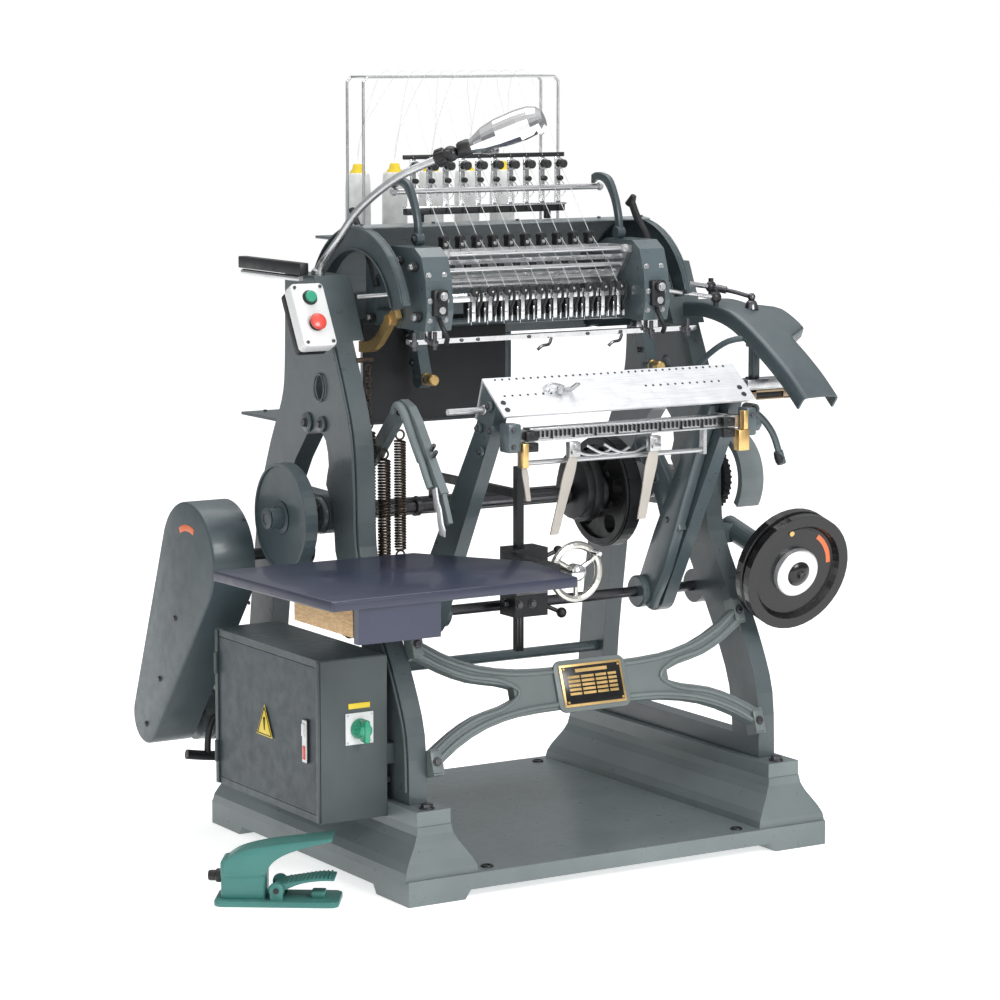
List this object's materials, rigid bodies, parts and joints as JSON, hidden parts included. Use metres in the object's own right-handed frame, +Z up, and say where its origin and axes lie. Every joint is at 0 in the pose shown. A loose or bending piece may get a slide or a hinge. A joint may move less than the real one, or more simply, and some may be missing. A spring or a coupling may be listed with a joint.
{
  "type": "book sewing machine",
  "caption": "Floor-standing machine that sews folded book sections with thread, with swinging saddle, needle bar, feed table, handwheel and foot switch.",
  "frame": {"origin": "middle of the bounding box, on the floor under the base", "axes": "+Z up; +Y from the operator's side to the back; +X to the operator's right"},
  "size_m": [1.4136, 1.132, 1.5848],
  "materials": {
    "base_casting": "satin slate-grey paint",
    "side_frame_left": "satin slate-grey paint",
    "side_frame_right": "satin slate-grey paint",
    "front_brace": "satin light grey paint",
    "rear_tie_rod": "satin slate-grey paint",
    "cross_beam": "oiled dark steel",
    "swing_shaft": "oiled dark steel",
    "head_beam": "satin slate-grey paint",
    "delivery_table": "satin light grey paint",
    "head_cheek_left": "satin slate-grey paint",
    "head_cheek_right": "satin slate-grey paint",
    "head_bars": "ground steel",
    "needle_plate": "polished",
    "stop_arms": "satin slate-grey paint",
    "sheet_panel": "oiled dark steel",
    "hood": "satin slate-grey paint",
    "hood_end_left": "satin slate-grey paint",
    "hood_end_right": "satin slate-grey paint",
    "tension_rack": "oiled dark steel",
    "spool_stand": "white thread and steel",
    "thread_frame": "ground steel",
    "lamp_neck": "ground steel",
    "lamp_joint": "glossy black",
    "motor": "satin slate-grey paint",
    "drive_belt": "matt rubber",
    "belt_guard": "satin slate-grey paint",
    "gear_guard": "satin light grey paint",
    "handwheel_tube": "satin slate-grey paint",
    "column": "oiled dark steel",
    "electric_cabinet": "satin slate-grey paint",
    "button_box": "off-white plastic",
    "arm_cover": "satin slate-grey paint",
    "pedal_base": "teal paint",
    "saddle": "satin sheet",
    "swing_arm_left": "satin slate-grey paint",
    "swing_arm_right": "satin slate-grey paint",
    "gauge_bar": "ground steel",
    "needle_bar": "ground steel",
    "take_up_frame": "satin slate-grey paint",
    "table_carrier": "dark cast iron",
    "feed_table": "dark laminate",
    "table_apron": "dark laminate",
    "table_handwheel": "polished",
    "cam_shaft": "oiled steel",
    "cam_disc_left": "painted cast iron",
    "cam_large": "oiled cast iron",
    "drive_pulley": "machined cast iron",
    "motor_pulley": "machined cast iron",
    "gear_right": "oiled cast iron",
    "handwheel": "glossy black enamel",
    "cabinet_door": "satin slate-grey paint",
    "switch_knob": "green plastic",
    "start_button": "green plastic",
    "stop_button": "red plastic",
    "pedal_treadle": "teal paint",
    "lamp_shade": "polished aluminium",
    "slide_block": "bronze",
    "lever_handle": "satin slate-grey paint",
    "trip_lever": "satin light grey paint",
    "brass_lever": "dull brass"
  },
  "bodies": {
    "machine": {"base_casting": "base_casting", "side_frame_left": "side_frame_left", "side_frame_right": "side_frame_right", "front_brace": "front_brace", "rear_tie_rod": "rear_tie_rod", "cross_beam": "cross_beam", "swing_shaft": "swing_shaft", "head_beam": "head_beam", "delivery_table": "delivery_table", "head_cheek_left": "head_cheek_left", "head_cheek_right": "head_cheek_right", "head_bars": "head_bars", "needle_plate": "needle_plate", "stop_arms": "stop_arms", "sheet_panel": "sheet_panel", "hood": "hood", "hood_end_left": "hood_end_left", "hood_end_right": "hood_end_right", "tension_rack": "tension_rack", "spool_stand": "spool_stand", "thread_frame": "thread_frame", "lamp_neck": "lamp_neck", "lamp_joint": "lamp_joint", "motor": "motor", "drive_belt": "drive_belt", "belt_guard": "belt_guard", "gear_guard": "gear_guard", "handwheel_tube": "handwheel_tube", "column": "column", "electric_cabinet": "electric_cabinet", "button_box": "button_box", "arm_cover": "arm_cover", "pedal_base": "pedal_base"},
    "swing": {"saddle": "saddle", "swing_arm_left": "swing_arm_left", "swing_arm_right": "swing_arm_right", "gauge_bar": "gauge_bar"},
    "needles": {"needle_bar": "needle_bar"},
    "take_up": {"take_up_frame": "take_up_frame"},
    "table": {"table_carrier": "table_carrier", "feed_table": "feed_table", "table_apron": "table_apron"},
    "table_wheel": {"table_handwheel": "table_handwheel"},
    "cams": {"cam_shaft": "cam_shaft", "cam_disc_left": "cam_disc_left", "cam_large": "cam_large"},
    "drive_shaft": {"drive_pulley": "drive_pulley"},
    "motor_shaft": {"motor_pulley": "motor_pulley"},
    "gear": {"gear_right": "gear_right"},
    "wheel": {"handwheel": "handwheel"},
    "door": {"cabinet_door": "cabinet_door"},
    "switch": {"switch_knob": "switch_knob"},
    "start": {"start_button": "start_button"},
    "stop": {"stop_button": "stop_button"},
    "treadle": {"pedal_treadle": "pedal_treadle"},
    "lamp_head": {"lamp_shade": "lamp_shade"},
    "slide": {"slide_block": "slide_block"},
    "slide_lever": {"lever_handle": "lever_handle"},
    "trip": {"trip_lever": "trip_lever"},
    "latch": {"brass_lever": "brass_lever"}
  },
  "joints": [
    {"name": "cam_spin", "type": "hinge", "parent": "machine", "child": "cams", "pos_m": [0.1008, 0.075, 0.707], "axis": [1, 0, 0], "continuous": true},
    {"name": "drive_spin", "type": "hinge", "parent": "machine", "child": "drive_shaft", "pos_m": [-0.3992, 0.294, 0.6], "axis": [1, 0, 0], "continuous": true},
    {"name": "motor_spin", "type": "hinge", "parent": "machine", "child": "motor_shaft", "pos_m": [-0.3992, 0.504, 0.238], "axis": [1, 0, 0], "continuous": true},
    {"name": "gear_spin", "type": "hinge", "parent": "machine", "child": "gear", "pos_m": [0.5508, -0.026, 0.735], "axis": [1, 0, 0], "continuous": true},
    {"name": "handwheel_spin", "type": "hinge", "parent": "machine", "child": "wheel", "pos_m": [0.5808, -0.281, 0.568], "axis": [0, -0.9659, -0.2588], "continuous": true},
    {"name": "saddle_swing", "type": "hinge", "parent": "machine", "child": "swing", "pos_m": [0.1008, -0.036, 0.505], "axis": [-1, 0, 0], "range_deg": [0, 17]},
    {"name": "needle_stroke", "type": "slide", "parent": "machine", "child": "needles", "axis": [0, 0, -1], "range_m": [0, 0.03]},
    {"name": "take_up_swing", "type": "hinge", "parent": "machine", "child": "take_up", "pos_m": [0.0508, -0.066, 1.265], "axis": [1, 0, 0], "range_deg": [-9, 9]},
    {"name": "table_lift", "type": "slide", "parent": "machine", "child": "table", "axis": [0, 0, 1], "range_m": [-0.03, 0.03]},
    {"name": "table_wheel_spin", "type": "hinge", "parent": "table", "child": "table_wheel", "pos_m": [0.0648, -0.251, 0.6], "axis": [0, -1, 0], "range_deg": [-145, 145]},
    {"name": "door_swing", "type": "hinge", "parent": "machine", "child": "door", "pos_m": [-0.5052, 0.205, 0.307], "axis": [0, 0, -1], "range_deg": [0, 95]},
    {"name": "switch_turn", "type": "hinge", "parent": "machine", "child": "switch", "pos_m": [-0.4172, -0.2263, 0.328], "axis": [0, -1, 0], "range_deg": [0, 90]},
    {"name": "start_press", "type": "slide", "parent": "machine", "child": "start", "axis": [0, 0.8829, -0.4695], "range_m": [0, 0.004], "stiffness_N_per_m": 400, "springref_m": -0.004},
    {"name": "stop_press", "type": "slide", "parent": "machine", "child": "stop", "axis": [0, 0.8829, -0.4695], "range_m": [0, 0.004], "stiffness_N_per_m": 400, "springref_m": -0.004},
    {"name": "treadle_press", "type": "hinge", "parent": "machine", "child": "treadle", "pos_m": [-0.5852, -0.203, 0.03128], "axis": [0.5635, 0.8261, 0], "range_deg": [0, 12], "stiffness_Nm_per_rad": 3, "springref_deg": -14.32},
    {"name": "lamp_tilt", "type": "hinge", "parent": "machine", "child": "lamp_head", "pos_m": [-0.1612, -0.149, 1.436], "axis": [-0.6909, -0.723, 0], "range_deg": [-30, 30]},
    {"name": "slide_travel", "type": "slide", "parent": "machine", "child": "slide", "axis": [1, 0, 0], "range_m": [0, 0.018]},
    {"name": "slide_lever_turn", "type": "hinge", "parent": "machine", "child": "slide_lever", "pos_m": [0.5028, -0.236, 0.902], "axis": [0, 1, 0], "range_deg": [-20, 3]},
    {"name": "trip_lift", "type": "hinge", "parent": "machine", "child": "trip", "pos_m": [-0.2392, 0.019, 0.832], "axis": [-1, 0, 0], "range_deg": [0, 10]},
    {"name": "latch_lift", "type": "hinge", "parent": "machine", "child": "latch", "pos_m": [-0.2492, -0.051, 1.105], "axis": [1, 0, 0], "range_deg": [0, 15]}
  ],
  "couplings": [
    {"joint": "drive_spin", "follows": "cam_spin", "ratio": 2},
    {"joint": "motor_spin", "follows": "cam_spin", "ratio": 6.6},
    {"joint": "gear_spin", "follows": "cam_spin", "ratio": -0.48571},
    {"joint": "handwheel_spin", "follows": "cam_spin", "ratio": 1},
    {"joint": "take_up_swing", "follows": "needle_stroke", "rad_per_m": 4.6},
    {"joint": "table_wheel_spin", "follows": "table_lift", "rad_per_m": 80},
    {"joint": "slide_lever_turn", "follows": "slide_travel", "rad_per_m": -17}
  ]
}
